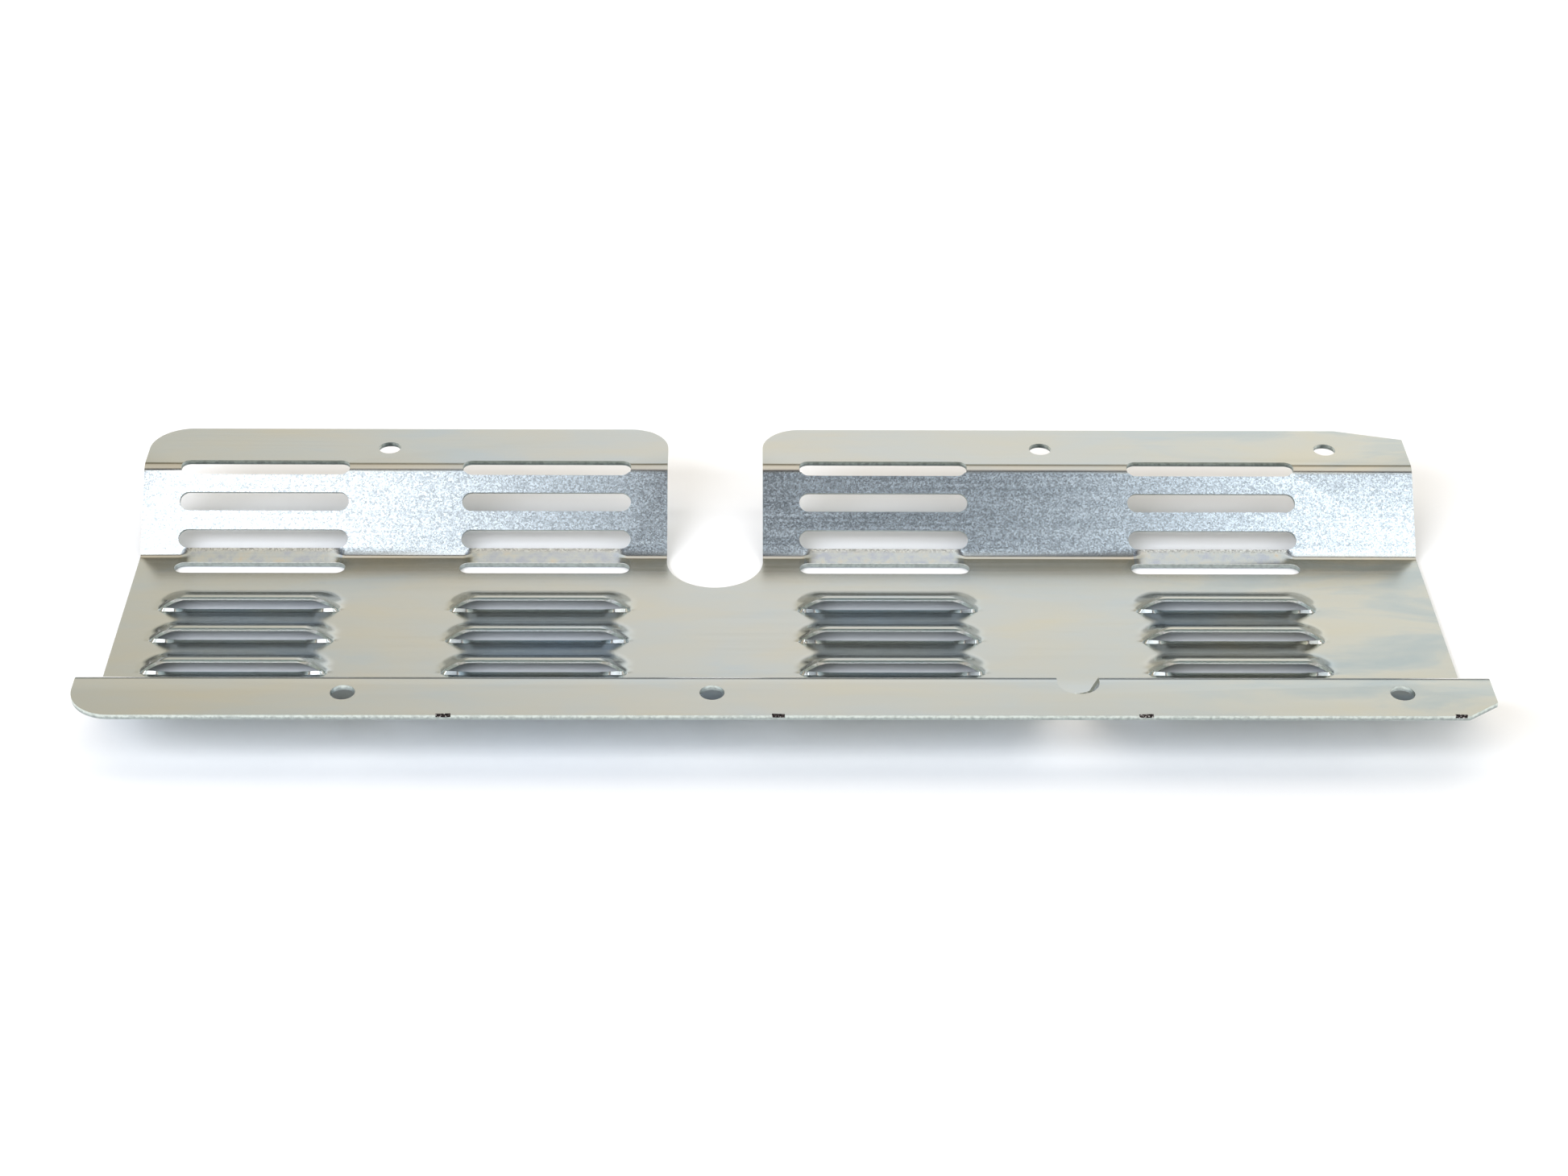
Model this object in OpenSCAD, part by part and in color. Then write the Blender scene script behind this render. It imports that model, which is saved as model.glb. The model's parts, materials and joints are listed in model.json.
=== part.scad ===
// Louvred tray, folded from one steel sheet
//
// A shallow trough lies between two drilled flanges. Rows of louvres are pressed up from its
// floor, and rows of slots run along its rear wall, the last one over the upper bend. A U-shaped
// notch crosses the rear flange and wall, and a round-ended relief crosses the front bend.
//
// The object is a single sheet. Each node is one flat panel of it, with the bend beside it, and
// the panels meet edge to edge without overlapping. X runs along the tray, Y from the front to
// the rear and Z up. The origin is below the middle of the outline, level with the underside.

/* [Sheet] */
// Thickness of the sheet
sheet_thickness = 1.5; // [1:0.1:2.5]
// Inside radius of every bend
bend_radius = 1.5; // [0.5:0.1:2.5]
// Slope of both walls
bend_angle = 45; // [35:1:60]

/* [Tray] */
// Length of the tray
tray_length = 400; // [390:5:600]
// Height of the flanges above the floor, upper face to upper face
trough_depth = 21; // [17:0.5:40]
// Width of the floor, bend to bend
floor_width = 74.5; // [70:0.5:150]
// Width of the rear flange, bend to edge
rear_flange_width = 23; // [17:0.5:60]
// Width of the front flange, bend to edge
front_flange_width = 19; // [15:0.5:60]

/* [Columns] */
// Middles of the four columns of slots and louvres, from the middle of the tray
column_x = [-162, -73.5, 32.5, 136]; // [-250:0.5:250]

/* [Slots] */
// Length of a slot
slot_length = 53; // [20:1:70]
// Height of a slot
slot_height = 6; // [2:0.5:8]
// Spacing of the rows of slots, up the wall
slot_pitch = 12; // [10:0.5:16]
// Length of each strip's ends that is buried in the bent metal beside it
strip_tail = 1.5; // [0.5:0.5:6]
// Depth that the strips lie below flush
strip_sink = 0.1; // [0.05:0.05:0.1]

/* [Louvres] */
// Length of a louvre, tip to tip
louvre_length = 55.5; // [24:0.5:80]
// Depth of a louvre, from its lip back to the floor
louvre_depth = 12; // [8:0.5:16]
// Level stretch behind the lip
louvre_crest = 2; // [0.5:0.5:4]
// Height that a louvre is pressed up by
louvre_rise = 4.7; // [2:0.1:8]
// Length of each rounded end
louvre_end = 9; // [4:0.5:12]
// Rows of louvres
louvre_rows = 3; // [1:1:3]
// Spacing of the rows of louvres
louvre_pitch = 16.8; // [13:0.1:22]
// Distance from the rear bend to the first lip
first_lip = 30; // [24:0.5:36]

/* [Stations] */
// Four stations along the tray that the holes, the notch and the relief share
station_x = [-124, -20.5, 83, 174]; // [-300:0.5:300]

/* [Screw holes] */
// Diameter of the screw holes
hole_diameter = 7; // [4:0.1:9]
// Distance of the rear holes from the rear flange's bend
rear_hole_line = 11; // [8:0.5:30]
// Distance of the front holes from the front flange's bend
front_hole_line = 8; // [6:0.5:30]

/* [Notch] */
// Width of the notch
notch_width = 30; // [16:0.5:50]
// Distance that the notch reaches over the floor
notch_reach = 17; // [10:0.5:24]
// Radius of the flange's corners at the notch
notch_corner = 12; // [2:0.5:15]

/* [Relief] */
// Width of the relief
relief_width = 12; // [6:0.5:30]
// Distance that the relief reaches over the front flange
relief_reach = 8.5; // [4:0.5:14]
// Height of flat wall left below the relief
relief_foot = 1; // [0.5:0.5:10]

/* [Outer corners] */
// Radius of both corners at the left end
left_corner = 12.5; // [2:0.5:14]
// Length and depth of the slanted cut at the right end of the rear flange
rear_slant = [21, 5.5]; // [1:0.5:40]
// Length and depth of the slanted cut at the right end of the front flange
front_slant = [9, 6.5]; // [1:0.5:12]

/* [Hidden] */

$fn = 64;
curve_steps = 8;

zinc = [0.78, 0.78, 0.73];
speckled_zinc = [0.66, 0.71, 0.74];

// Walls, measured along their upper face
wall_length = trough_depth / sin(bend_angle);
wall_run = trough_depth / tan(bend_angle);
// Flat metal starts this far from a bend's corner, on its hollow and on its rounded side
hollow_setback = bend_radius * tan(bend_angle / 2);
rounded_setback = (bend_radius + sheet_thickness) * tan(bend_angle / 2);

left_end = -tray_length / 2;
right_end = tray_length / 2;
tray_width = front_flange_width + floor_width + rear_flange_width + 2 * wall_run;
rear_bend_y = tray_width / 2 - rear_flange_width - wall_run;
front_bend_y = rear_bend_y - floor_width;
notch_left = station_x[1] - notch_width / 2;
notch_right = station_x[1] + notch_width / 2;

// The strip of metal between the last row on the wall and the row on the floor
strip_half = (slot_pitch - slot_height) / 2;
strip_length = slot_length - slot_height;
// The relief runs this far down the front wall
relief_drop = wall_length - hollow_setback - relief_foot;

// ---- Placing: +Y leads out of the trough, and Z is 0 at a panel's upper face ----

module at_rear_bend() {
    translate([0, rear_bend_y, sheet_thickness]) children();
}

module at_front_bend() {
    translate([0, front_bend_y, sheet_thickness]) mirror([0, 1, 0]) children();
}

module on_wall() {
    rotate([bend_angle, 0, 0]) children();
}

module on_flange() {
    translate([0, wall_run, trough_depth]) children();
}

// ---- Sheet ----

module plate() {
    translate([0, 0, -sheet_thickness]) linear_extrude(sheet_thickness) children();
}

module punch() {
    translate([0, 0, -2 * sheet_thickness]) linear_extrude(4 * sheet_thickness) children();
}

// A stretch of bend from x0 to x1, about an axis at [y, z], that starts facing `start`
module bend(x0, x1, axis, start) {
    reach = 2 * (bend_radius + sheet_thickness);
    translate([x0, axis[0], axis[1]]) rotate([90, 0, 90]) linear_extrude(x1 - x0) rotate(start)
        intersection() {
            difference() {
                circle(bend_radius + sheet_thickness);
                circle(bend_radius);
            }
            polygon([[0, 0], [reach, 0], [reach, reach * tan(bend_angle)]]);
        }
}

module lower_bend(x0, x1) {
    bend(x0, x1, [-hollow_setback, bend_radius], -90);
}

module upper_bend(x0, x1) {
    bend(x0, x1, [rounded_setback, -sheet_thickness - bend_radius], 90);
}

module round_ended(length, width) {
    square([length - width, width], center = true);
    for (side = [-1, 1])
        translate([side * (length - width) / 2, 0]) circle(d = width);
}

// Flat of a flange from x0 to x1, with a rounded corner of its own radius at each end
module flange_blank(x0, x1, width, radius0, radius1) {
    translate([x0 + radius0, rounded_setback])
        square([x1 - x0 - radius0 - radius1, width - rounded_setback]);
    for (end = [[x0, x0 + radius0, radius0], [x1 - radius1, x1 - radius1, radius1]])
        if (end[2] > 0) {
            translate([end[0], rounded_setback]) square([end[2], width - rounded_setback - end[2]]);
            intersection() {
                translate([end[1], width - end[2]]) circle(end[2]);
                translate([end[0], width - end[2]]) square(end[2]);
            }
        }
}

// Waste outside a slanted cut of [length, depth] across a corner of a flange's right end
module slant_waste(at, cut) {
    beyond = 0.2 * cut;
    translate(at)
        polygon([[-cut[0] - beyond[0], beyond[1]], [beyond[0], -cut[1] - beyond[1]], beyond]);
}

// ---- Cuts, drawn on the flat of a panel ----

// One row of slots, centred at height y
module slot_row(y) {
    for (x = column_x)
        translate([x, y]) round_ended(slot_length, slot_height);
}

// Metal that leaves a panel on one side of the lower bend, where the strips cross it
module strip_waste(way, length) {
    for (x = column_x)
        translate([x, way * slot_pitch / 4]) square([length, slot_pitch / 2], center = true);
}

// The relief, from its end on the flange to its end down the wall, with the bend at y = 0
module relief() {
    translate([station_x[2], (relief_reach - relief_drop) / 2]) rotate(90)
        round_ended(relief_reach + relief_drop, relief_width);
}

module holes(stations, line) {
    for (i = stations)
        translate([station_x[i], line]) circle(d = hole_diameter);
}

// ---- Rear flange, in two lengths either side of the notch ----

module rear_flange(x0, x1, radius0, radius1) {
    on_flange() difference() {
        union() {
            plate() flange_blank(x0, x1, rear_flange_width, radius0, radius1);
            upper_bend(x0, x1);
        }
        punch() {
            slot_row(0);
            holes([0, 2, 3], rear_hole_line);
            slant_waste([right_end, rear_flange_width], rear_slant);
        }
    }
}

module rear_flange_left() {
    color(zinc) at_rear_bend() rear_flange(left_end, notch_left, left_corner, notch_corner);
}

module rear_flange_right() {
    color(zinc) at_rear_bend() rear_flange(notch_right, right_end, notch_corner, 0);
}

// ---- Slotted rear wall ----

module slotted_wall(x0, x1) {
    on_wall() plate() difference() {
        translate([x0, hollow_setback])
            square([x1 - x0, wall_length - hollow_setback - rounded_setback]);
        slot_row(slot_pitch / 2);
        slot_row(slot_pitch * 3 / 2);
        slot_row(wall_length);
        strip_waste(1, strip_length);
    }
}

module slotted_wall_left() {
    color(speckled_zinc) at_rear_bend() slotted_wall(left_end, notch_left);
}

module slotted_wall_right() {
    color(speckled_zinc) at_rear_bend() slotted_wall(notch_right, right_end);
}

// ---- Floor, with the lower bends, the strips over the rear one and the louvres ----

// Solid below a louvre's skin: its side view and its end view, crossed. The lip is at y = 0.
module louvre_mass() {
    slope = louvre_depth - louvre_crest;
    side_view = [for (i = [0:curve_steps])
        [louvre_crest + slope * i / curve_steps, louvre_rise * (1 + cos(180 * i / curve_steps)) / 2]];
    end_view = [for (side = [-1, 1], i = [0:curve_steps])
        let (step = side < 0 ? i : curve_steps - i)
        [side * (louvre_length / 2 - louvre_end * step / curve_steps),
         louvre_rise * sin(90 * step / curve_steps)]];
    intersection() {
        rotate([90, 0, 90]) linear_extrude(louvre_length, center = true)
            polygon(concat([[0, -louvre_rise], [0, louvre_rise]], side_view,
                           [[louvre_depth, -louvre_rise]]));
        translate([0, louvre_depth, 0]) rotate([90, 0, 0]) linear_extrude(louvre_depth)
            polygon(concat([[-louvre_length / 2, -louvre_rise]], end_view,
                           [[louvre_length / 2, -louvre_rise]]));
    }
}

module louvre() {
    difference() {
        louvre_mass();
        translate([0, 0, -sheet_thickness]) louvre_mass();
    }
}

module at_each_louvre() {
    for (x = column_x, row = [0:louvre_rows - 1])
        translate([x, -first_lip - louvre_pitch * row]) children();
}

// The strip stays flat where the wall turns, so it lies at half the bend's angle
module strip() {
    translate([-strip_length / 2, -strip_half, 0]) rotate([bend_angle / 2, 0, 0])
        translate([0, 0, -strip_sink])
            plate() square([strip_length, 2 * strip_half * cos(bend_angle / 2)]);
}

module louvred_floor() {
    color(zinc) {
        at_rear_bend() {
            difference() {
                union() {
                    plate() translate([left_end, hollow_setback - floor_width])
                        square([tray_length, floor_width - 2 * hollow_setback]);
                    lower_bend(left_end, right_end);
                }
                punch() {
                    slot_row(-slot_pitch / 2);
                    for (way = [-1, 1])
                        strip_waste(way, strip_length - 2 * strip_tail);
                    translate([station_x[1], 0]) rotate(90)
                        round_ended(2 * notch_reach, notch_width);
                    at_each_louvre() translate([-louvre_length / 2, 0])
                        square([louvre_length, louvre_depth]);
                }
            }
            at_each_louvre() louvre();
            for (x = column_x)
                translate([x, 0]) strip();
        }
        at_front_bend() lower_bend(left_end, right_end);
    }
}

// ---- Front wall and front flange ----

module front_wall() {
    color(speckled_zinc) at_front_bend() on_wall() plate() difference() {
        translate([left_end, hollow_setback])
            square([tray_length, wall_length - hollow_setback - rounded_setback]);
        translate([0, wall_length]) relief();
    }
}

module front_flange() {
    color(zinc) at_front_bend() on_flange() difference() {
        union() {
            plate() flange_blank(left_end, right_end, front_flange_width, left_corner, 0);
            upper_bend(left_end, right_end);
        }
        punch() {
            relief();
            holes([0, 1, 3], front_hole_line);
            slant_waste([right_end, front_flange_width], front_slant);
        }
    }
}

rear_flange_left();
rear_flange_right();
slotted_wall_left();
slotted_wall_right();
louvred_floor();
front_wall();
front_flange();
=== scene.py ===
# %% [markdown]
# # A louvred tray folded from one steel sheet
# The real tray is a single sheet of steel. It is cut and slotted flat, its louvres are pressed up,
# its walls and flanges are folded, and the whole is zinc plated. This lesson makes it in that
# spirit: one open surface is folded and pressed first, then it is given its thickness and is
# pierced. The CAD model comes first, because it fixes the size and place of everything.

# %% Load the CAD model
import bmesh
import bpy
import json
from math import cos, pi, radians, sin, tan
from mathutils import Matrix, Vector


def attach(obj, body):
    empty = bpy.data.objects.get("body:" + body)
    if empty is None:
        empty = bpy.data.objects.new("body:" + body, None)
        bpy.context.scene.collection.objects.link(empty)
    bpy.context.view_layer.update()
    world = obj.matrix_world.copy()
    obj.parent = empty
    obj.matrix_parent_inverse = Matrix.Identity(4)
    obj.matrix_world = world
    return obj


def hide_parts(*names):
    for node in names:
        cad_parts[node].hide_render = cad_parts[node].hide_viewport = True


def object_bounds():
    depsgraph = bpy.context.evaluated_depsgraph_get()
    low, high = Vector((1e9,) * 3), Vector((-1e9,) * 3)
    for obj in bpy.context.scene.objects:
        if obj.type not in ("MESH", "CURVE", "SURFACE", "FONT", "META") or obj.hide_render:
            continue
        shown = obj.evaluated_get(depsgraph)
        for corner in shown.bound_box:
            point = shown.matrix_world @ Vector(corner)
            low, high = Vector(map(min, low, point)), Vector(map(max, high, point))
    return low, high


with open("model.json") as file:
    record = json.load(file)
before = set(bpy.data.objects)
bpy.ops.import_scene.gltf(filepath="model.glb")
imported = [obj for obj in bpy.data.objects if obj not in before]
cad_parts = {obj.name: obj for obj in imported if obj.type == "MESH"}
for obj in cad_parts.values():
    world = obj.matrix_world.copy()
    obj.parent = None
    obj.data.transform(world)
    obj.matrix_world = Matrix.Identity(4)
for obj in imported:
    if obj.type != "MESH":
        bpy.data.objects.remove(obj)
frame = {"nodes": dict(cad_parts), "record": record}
cad_low, cad_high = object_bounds()
bpy.ops.object.select_all(action="DESELECT")
print("CAD box in mm:", [round(1000 * (h - l), 2) for l, h in zip(cad_low, cad_high)])

# %% [markdown]
# ## Sizes
# Blender works in metres and a sheet-metal drawing in millimetres, so each size is written in
# millimetres times MM. The outline and the screw holes come from the CAD model. The folds are
# worked out from those, from the widths of the flanges and from the slope of the walls.

# %% Sizes of the sheet and its folds
MM = 0.001
THICK = 1.5 * MM
SLOPE = radians(45)
HOLLOW_RADIUS, ROUND_RADIUS = 2 * MM, 4.4 * MM
REAR_FLANGE, FRONT_FLANGE = 23 * MM, 19 * MM

RISE = cad_high.z - THICK
RUN = RISE / tan(SLOPE)
WALL = RISE / sin(SLOPE)
HOLLOW_SETBACK = HOLLOW_RADIUS * tan(SLOPE / 2)
ROUND_SETBACK = ROUND_RADIUS * tan(SLOPE / 2)
LEFT, RIGHT = cad_low.x, cad_high.x
REAR_EDGE, FRONT_EDGE = cad_high.y, cad_low.y
REAR_TOP = REAR_EDGE - REAR_FLANGE
REAR_FOOT = REAR_TOP - RUN
FRONT_TOP = FRONT_EDGE + FRONT_FLANGE
FRONT_FOOT = FRONT_TOP + RUN
FLANGE_Z = THICK + RISE
FOLDS = (REAR_FOOT, FRONT_FOOT, REAR_TOP, FRONT_TOP)
print("floor width in mm:", round((REAR_FOOT - FRONT_FOOT) / MM, 2))

# %% Columns of slots and louvres
COLUMNS = [x * MM for x in (-162, -73.5, 32.5, 136)]
SLOT_LENGTH, SLOT_HEIGHT, SLOT_PITCH = 53 * MM, 6 * MM, 12 * MM


def from_column(co):
    """Distance along the tray from the middle of the nearest column."""
    return min(abs(co.x - x) for x in COLUMNS)


print("columns are apart by", [round((b - a) / MM, 1) for a, b in zip(COLUMNS, COLUMNS[1:])], "mm")

# %% [markdown]
# ## Picking by place
# A modeller clicks on what the next tool should act on. In code, one small function selects the
# points, edges or faces whose middles pass a test, so that each step says in words what it works
# on. A folded sheet has few enough parts for their places to tell them apart.

# %% Helpers for picking
SAME_PLACE, SAME_LINE, HAIR = 0.01 * MM, 0.001 * MM, 0.0001 * MM


def near(a, b, room=SAME_PLACE):
    return abs(a - b) < room


def activate(thing):
    """Make one object the only selected and active one."""
    bpy.ops.object.select_all(action="DESELECT")
    thing.select_set(True)
    bpy.context.view_layer.objects.active = thing


def pick(kind, wanted):
    """In edit mode, select the points, edges or faces whose middles pass the test."""
    bpy.ops.mesh.select_mode(type=kind)
    bpy.ops.mesh.select_all(action="DESELECT")
    mesh = bmesh.from_edit_mesh(bpy.context.edit_object.data)
    if kind == "FACE":
        found = [f for f in mesh.faces if wanted(f.calc_center_median())]
    elif kind == "EDGE":
        found = [e for e in mesh.edges if wanted((e.verts[0].co + e.verts[1].co) / 2)]
    else:
        found = [v for v in mesh.verts if wanted(v.co)]
    for part in found:
        part.select_set(True)
    mesh.select_flush_mode()
    bmesh.update_edit_mesh(bpy.context.edit_object.data)
    return len(found)


print("places within", SAME_PLACE / MM, "mm count as one")

# %% [markdown]
# ## Fold the sheet
# The tray could be a grid that code bends point by point, but a maker folds it, and so does this
# cell. It starts with a plane the size of the floor. The rear edge is extruded up the slope and
# then back as the flange, and the front edge likewise. Beveling the four folds turns each sharp
# corner into an arc, tangent to the panels on both sides. The surface is the upper face of the
# sheet, so a fold that is hollow from above has a small inside radius, and a rounded one has a
# larger outside radius. A bevel of two corner points rounds the flanges' left corners.

# %% Fold the walls and flanges
LEFT_CORNER = 12.5 * MM

bpy.ops.mesh.primitive_plane_add(size=1)
sheet = bpy.context.object
sheet.name = "folded_sheet"
bpy.ops.object.mode_set(mode="EDIT")
bpy.ops.transform.resize(value=(RIGHT - LEFT, REAR_FOOT - FRONT_FOOT, 1), center_override=(0, 0, 0))
bpy.ops.transform.translate(value=(0, (REAR_FOOT + FRONT_FOOT) / 2, THICK))
for foot, top, edge in ((REAR_FOOT, REAR_TOP, REAR_EDGE), (FRONT_FOOT, FRONT_TOP, FRONT_EDGE)):
    pick("EDGE", lambda co: near(co.y, foot) and near(co.x, 0))
    bpy.ops.mesh.extrude_edges_move(TRANSFORM_OT_translate={"value": (0, top - foot, RISE)})
    bpy.ops.mesh.extrude_edges_move(TRANSFORM_OT_translate={"value": (0, edge - top, 0)})
for height, setback in ((THICK, HOLLOW_SETBACK), (FLANGE_Z, ROUND_SETBACK)):
    pick("EDGE", lambda co: near(co.x, 0) and near(co.z, height)
         and any(near(co.y, fold) for fold in FOLDS))
    bpy.ops.mesh.bevel(offset_type="OFFSET", offset=setback, segments=6, affect="EDGES")
bpy.ops.mesh.select_all(action="SELECT")
bpy.ops.mesh.normals_make_consistent(inside=False)
floor_face = max(bmesh.from_edit_mesh(sheet.data).faces, key=lambda f: f.calc_area())
if floor_face.normal.z < 0:
    bpy.ops.mesh.flip_normals()
for y in (REAR_EDGE, FRONT_EDGE):
    pick("VERT", lambda co: near(co.x, LEFT) and near(co.y, y))
    bpy.ops.mesh.bevel(offset_type="OFFSET", offset=LEFT_CORNER, segments=16, affect="VERTICES")
bpy.ops.object.mode_set(mode="OBJECT")
print("folded surface:", len(sheet.data.polygons), "faces")

# %% [markdown]
# ## Leave flat strips across the lower bend
# Between the last row of slots on the wall and the row on the floor, only a narrow strip is left.
# When the wall is folded, that strip doesn't bend: it turns by half the angle and stays flat, and
# near the slots' ends it twists back into the bend. No modifier gives that twist. So the sheet is
# scored around each strip, and the points of the arc are moved by a rule onto the straight line
# between the two rows of slots.

# %% Scoring, and moving points by a rule
def score(wanted, point, normal):
    """Cut a line across the wanted faces without removing anything."""
    pick("FACE", wanted)
    bpy.ops.mesh.bisect(plane_co=point, plane_no=normal)


def reshape(rule):
    """In edit mode, move every point to where the rule puts it; count the points that moved."""
    mesh = bmesh.from_edit_mesh(bpy.context.edit_object.data)
    moved = 0
    for point in mesh.verts:
        new_place = rule(point)
        moved += (new_place - point.co).length > HAIR
        point.co = new_place
    bmesh.update_edit_mesh(bpy.context.edit_object.data)
    return moved


def ease(share):
    """Turn an even rise from 0 to 1 into one that starts and ends level."""
    return share * share * (3 - 2 * share)


print("a quarter of the way, the eased rise is", ease(0.25))

# %% Flatten the strips
STRIP_HALF = (SLOT_PITCH - SLOT_HEIGHT) / 2
STRIP_STEP, STRIP_CUTS = 0.75 * MM, 8
STRIP_ENDS = [SLOT_LENGTH / 2 - k * STRIP_STEP for k in range(1, STRIP_CUTS + 1)]


def by_rear_fold(co):
    return abs(co.y - REAR_FOOT) < STRIP_HALF


def flatten_strip(point):
    """Move a point of the rear fold's arc to the chord between the slots, by how far in it is."""
    co = point.co
    inside = SLOT_LENGTH / 2 - from_column(co)
    across = co.y - REAR_FOOT
    if inside <= 0 or not -STRIP_HALF < across < STRIP_HALF * cos(SLOPE):
        return co
    share = ease(min(1, inside / (STRIP_CUTS * STRIP_STEP)))
    chord = THICK + (across + STRIP_HALF) * tan(SLOPE / 2)
    return Vector((co.x, co.y, co.z + share * (chord - co.z)))


activate(sheet)
bpy.ops.object.mode_set(mode="EDIT")
up_wall = Vector((0, cos(SLOPE), sin(SLOPE)))
score(lambda co: True, (0, REAR_FOOT - STRIP_HALF, 0), (0, 1, 0))
score(lambda co: co.y > REAR_FOOT, Vector((0, REAR_FOOT, THICK)) + up_wall * STRIP_HALF, up_wall)
for x in COLUMNS:
    for end in STRIP_ENDS:
        for side in (-1, 1):
            score(by_rear_fold, (x + side * end, 0, 0), (1, 0, 0))
moved = reshape(flatten_strip)
bpy.ops.object.mode_set(mode="OBJECT")
print("strips:", moved, "points moved, of", len(sheet.data.vertices))

# %% [markdown]
# ## Press the louvres
# A press shears the floor along each lip and pushes the metal behind it up, so the skin stays one
# piece with the floor at its back and its two ends. Nested extrusions could step it up, but they
# leave square corners, and the real hood is round at its back corners. So the floor is scored
# into a fine grid around each louvre, the lip edges are split, and every point behind a lip is
# raised by the height of the press there. The foot at the back bends up over its first part, and
# the rest is straight up to a narrow flat crest. At the ends of the lip the metal rises steeply at
# once and rounds over, and behind the lip its foot is soft and spreads a little wider.

# %% Sizes of the louvres
LOUVRE_LENGTH, LOUVRE_DEPTH, LOUVRE_RISE = 55.5 * MM, 12 * MM, 4.7 * MM
LOUVRE_CREST, LOUVRE_END, LOUVRE_SPREAD = 1.4 * MM, 9 * MM, 1.8 * MM
FIRST_LIP, LIP_PITCH, BURR = 30 * MM, 16.8 * MM, 0.14 * MM
LIPS = [REAR_FOOT - (FIRST_LIP + LIP_PITCH * row) for row in range(3)]
print("louvres:", len(COLUMNS) * len(LIPS), "with lips at Y =", [round(y / MM, 1) for y in LIPS])

# %% Score the floor and shear the lips
END_STEPS = (0, 0.04, 0.1, 0.17, 0.25, 0.34, 0.44, 0.55, 0.66, 0.78, 0.9, 1)
BACK_STEPS = 12
OUTSIDE = (0.9 * MM, 1.8 * MM, 2.7 * MM)


def on_floor(co):
    return near(co.z, THICK) and FRONT_FOOT + HOLLOW_SETBACK < co.y < REAR_FOOT - STRIP_HALF


def along_lip(co, before=0.0):
    """Whether a place lies along a louvre's lip, or at a distance before it."""
    on_line = min(abs(co.y - lip + before) for lip in LIPS) < SAME_LINE
    return on_line and from_column(co) < LOUVRE_LENGTH / 2


activate(sheet)
bpy.ops.object.mode_set(mode="EDIT")
for x in COLUMNS:
    for side in (-1, 1):
        tip = x + side * LOUVRE_LENGTH / 2
        for step in END_STEPS:
            score(on_floor, (tip - side * step * LOUVRE_END, 0, 0), (1, 0, 0))
        for step in OUTSIDE:
            score(on_floor, (tip + side * step, 0, 0), (1, 0, 0))
for lip in LIPS:
    for k in range(BACK_STEPS + 1):
        back = lip + LOUVRE_CREST + (LOUVRE_DEPTH - LOUVRE_CREST) * k / BACK_STEPS
        score(on_floor, (0, back, 0), (0, 1, 0))
    for y in (lip, lip + LOUVRE_CREST / 2, lip - BURR, lip - OUTSIDE[0], lip - OUTSIDE[1]):
        score(on_floor, (0, y, 0), (0, 1, 0))
sheared = pick("EDGE", along_lip)
bpy.ops.mesh.edge_split(type="EDGE")
print("sheared edges:", sheared)

# %% The shape of the press
FOOT_SHARE = 0.4
SOFT_END_FROM, SPREAD_FROM = 2 * MM, 5 * MM


def press_height(co):
    """Height that the press raises a point of the floor by; nothing outside the louvres."""
    behind = min((co.y - lip for lip in LIPS if co.y > lip - HAIR), default=-1)
    from_lip = min(1, max(0, behind / SOFT_END_FROM))
    spread = LOUVRE_SPREAD * min(1, max(0, behind / SPREAD_FROM))
    beside = LOUVRE_LENGTH / 2 + spread - from_column(co)
    if beside <= 0 or not -HAIR <= behind < LOUVRE_DEPTH:
        return 0.0
    in_from_end = min(1, beside / (LOUVRE_END + spread))
    in_from_back = min(1, (LOUVRE_DEPTH - behind) / (LOUVRE_DEPTH - LOUVRE_CREST))
    short_end, short_back = 1 - in_from_end, 1 - in_from_back
    inside = 1 - (short_end ** 2 + short_back ** 2) ** 0.5
    if inside <= 0:
        return 0.0
    like_end = short_end / max(HAIR, short_end + short_back)
    end_shape = (1 - from_lip) * sin(pi / 2 * inside) + from_lip * ease(inside)
    # A cubic foot that runs on into a straight slope without a corner
    back_shape = inside - 2 / 3 * FOOT_SHARE
    if inside < FOOT_SHARE:
        back_shape = inside ** 3 / (3 * FOOT_SHARE ** 2)
    back_shape /= 1 - 2 / 3 * FOOT_SHARE
    return LOUVRE_RISE * (like_end * end_shape + (1 - like_end) * back_shape)


crest = Vector((COLUMNS[0], LIPS[0], 0))
print("height of the press at a crest in mm:", round(press_height(crest) / MM, 2))

# %% Press, and mark the burrs
BARE_EDGE_SLOT = 1


def press(point):
    """Raise a point; at a split lip, only the copy that belongs to the metal behind the lip."""
    co = point.co
    behind_lip = all(f.calc_center_median().y > co.y - SAME_LINE for f in point.link_faces)
    on_lip = min(abs(co.y - lip) for lip in LIPS) < SAME_LINE
    if not near(co.z, THICK) or (on_lip and not behind_lip):
        return co
    return co + Vector((0, 0, press_height(co)))


raised = reshape(press)
sheet.data.materials.append(None)
sheet.data.materials.append(None)
sheet.active_material_index = BARE_EDGE_SLOT
# The burr strips take the edge finish, which paints them as a bright line of caught light
burrs = pick("FACE", lambda co: along_lip(co, before=BURR / 2))
bpy.ops.object.material_slot_assign()
bpy.ops.object.mode_set(mode="OBJECT")
print("burrs:", burrs, "faces in front of the lips")
print("louvres:", raised, "points pressed up, of", len(sheet.data.vertices))

# %% [markdown]
# ## Colours and nodes
# A finish is a net of nodes. It could be wired by hand in the shader editor, but a script can be
# read and run again. Colours are written as the hex values that a colour picker shows, and shaders
# work in linear light, so one function turns the first into the second. A second function adds a
# node, sets it and wires it up, which keeps each finish short enough to read.

# %% Colour and node helpers
def linear(hex_colour):
    """Turn an sRGB hex colour into the linear RGBA that shaders use."""
    parts = [int(hex_colour[i:i + 2], 16) / 255 for i in (1, 3, 5)]
    return [p / 12.92 if p <= 0.04045 else ((p + 0.055) / 1.055) ** 2.4 for p in parts] + [1.0]


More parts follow.
